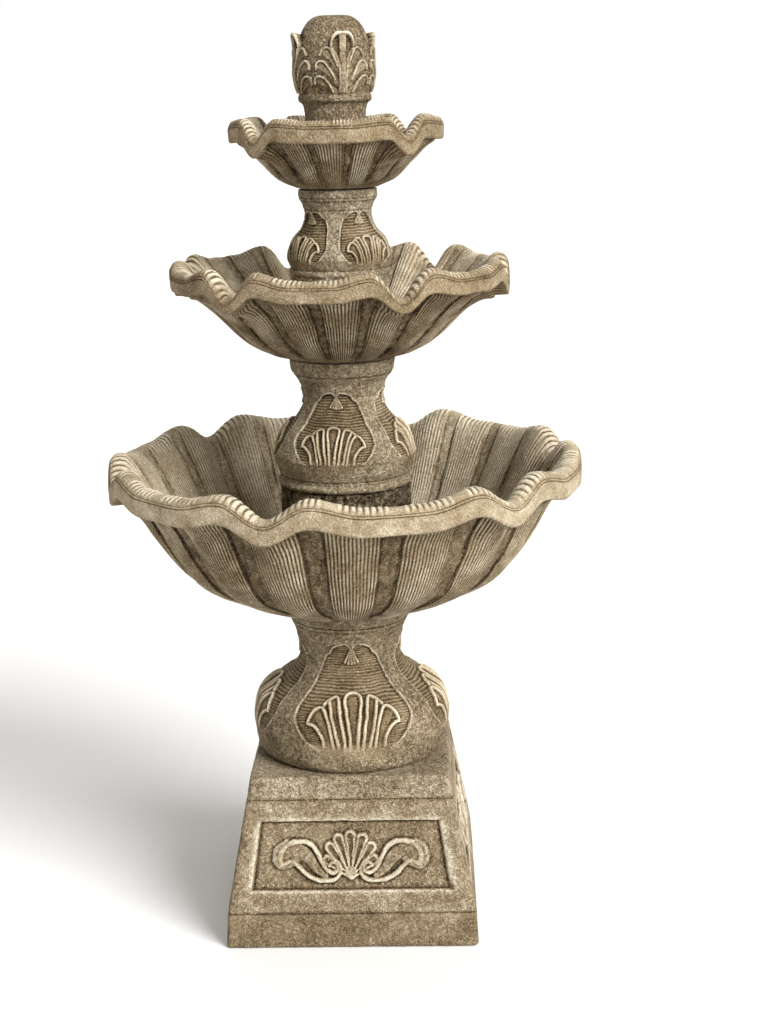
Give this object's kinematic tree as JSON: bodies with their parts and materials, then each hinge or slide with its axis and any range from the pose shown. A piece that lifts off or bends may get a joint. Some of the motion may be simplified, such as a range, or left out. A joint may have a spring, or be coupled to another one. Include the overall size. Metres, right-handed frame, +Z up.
{
  "type": "tiered garden fountain",
  "caption": "Tiered cast-stone garden fountain: scalloped ribbed bowls on carved columns over a square panelled plinth, with a submersible pump and tubing inside.",
  "frame": {"origin": "centre of the square footprint, on the ground", "axes": "+Z up, front (the face with the first carved panel) towards -Y, +X to the right seen from the front"},
  "size_m": [0.7832, 0.7834, 1.49],
  "materials": {
    "cast_stone": "cast stone with a brown antique wash, pitted, sandy beige on the ridges and dark in the recesses",
    "riser_stone": "rough pitted cast stone, darker than the rest",
    "black_rubber": "matte black moulded rubber",
    "clear_vinyl": "clear flexible tubing",
    "steel_clamp": "stainless steel band",
    "copper_pipe": "copper pipe, lightly tarnished",
    "pump_plastic": "fine-textured black ABS",
    "grey_plastic": "satin dark grey plastic",
    "ferrite": "dark grey sintered ferrite magnet",
    "shaft_ceramic": "polished white ceramic"
  },
  "bodies": {
    "base_and_basin": {"pedestal_base": "cast_stone", "lower_column": "cast_stone", "lower_bowl": "cast_stone", "cord_hole_stopper": "black_rubber", "supply_tube": "clear_vinyl", "pump_hose_clamp": "steel_clamp", "pump_housing": "pump_plastic", "impeller_cover": "grey_plastic", "outlet_barb": "pump_plastic", "cord_gland": "black_rubber", "rotor_shaft": "shaft_ceramic", "rear_shaft_bush": "black_rubber", "front_shaft_bush": "black_rubber", "volute_seal": "black_rubber", "suction_foot_1": "black_rubber", "suction_foot_2": "black_rubber", "suction_foot_3": "black_rubber", "suction_foot_4": "black_rubber"},
    "rotor": {"impeller": "grey_plastic", "magnet_rotor": "ferrite"},
    "strainer": {"strainer_cover": "pump_plastic"},
    "dial": {"flow_dial": "grey_plastic"},
    "riser": {"pump_riser": "riser_stone"},
    "middle_pedestal": {"middle_column": "cast_stone", "middle_bowl_setting_ring": "black_rubber"},
    "middle_tier": {"middle_bowl": "cast_stone", "middle_bowl_grommet": "black_rubber"},
    "upper_pedestal": {"upper_column": "cast_stone", "top_bowl_setting_ring": "black_rubber"},
    "top_tier": {"top_bowl": "cast_stone", "top_bowl_grommet": "black_rubber"},
    "finial_top": {"finial": "cast_stone", "nozzle_pipe": "copper_pipe"}
  },
  "joints": [
    {"name": "impeller_spin", "type": "hinge", "parent": "base_and_basin", "child": "rotor", "pos_m": [0, 0, 0.6123], "axis": [0, 1, 0], "continuous": true},
    {"name": "flow_dial_turn", "type": "hinge", "parent": "strainer", "child": "dial", "pos_m": [0, -0.04, 0.6123], "axis": [0, -1, 0], "range_deg": [0, 90]},
    {"name": "strainer_pull", "type": "slide", "parent": "base_and_basin", "child": "strainer", "axis": [0, -1, 0], "range_m": [0, 0.018]},
    {"name": "riser_lift", "type": "slide", "parent": "base_and_basin", "child": "riser", "axis": [0, 0, 1], "range_m": [0, 0.05]},
    {"name": "middle_column_lift", "type": "slide", "parent": "riser", "child": "middle_pedestal", "axis": [0, 0, 1], "range_m": [0, 0.05]},
    {"name": "middle_bowl_lift", "type": "slide", "parent": "middle_pedestal", "child": "middle_tier", "axis": [0, 0, 1], "range_m": [0, 0.05]},
    {"name": "upper_column_lift", "type": "slide", "parent": "middle_tier", "child": "upper_pedestal", "axis": [0, 0, 1], "range_m": [0, 0.05]},
    {"name": "top_bowl_lift", "type": "slide", "parent": "upper_pedestal", "child": "top_tier", "axis": [0, 0, 1], "range_m": [0, 0.05]},
    {"name": "finial_lift", "type": "slide", "parent": "top_tier", "child": "finial_top", "axis": [0, 0, 1], "range_m": [0, 0.12]}
  ]
}
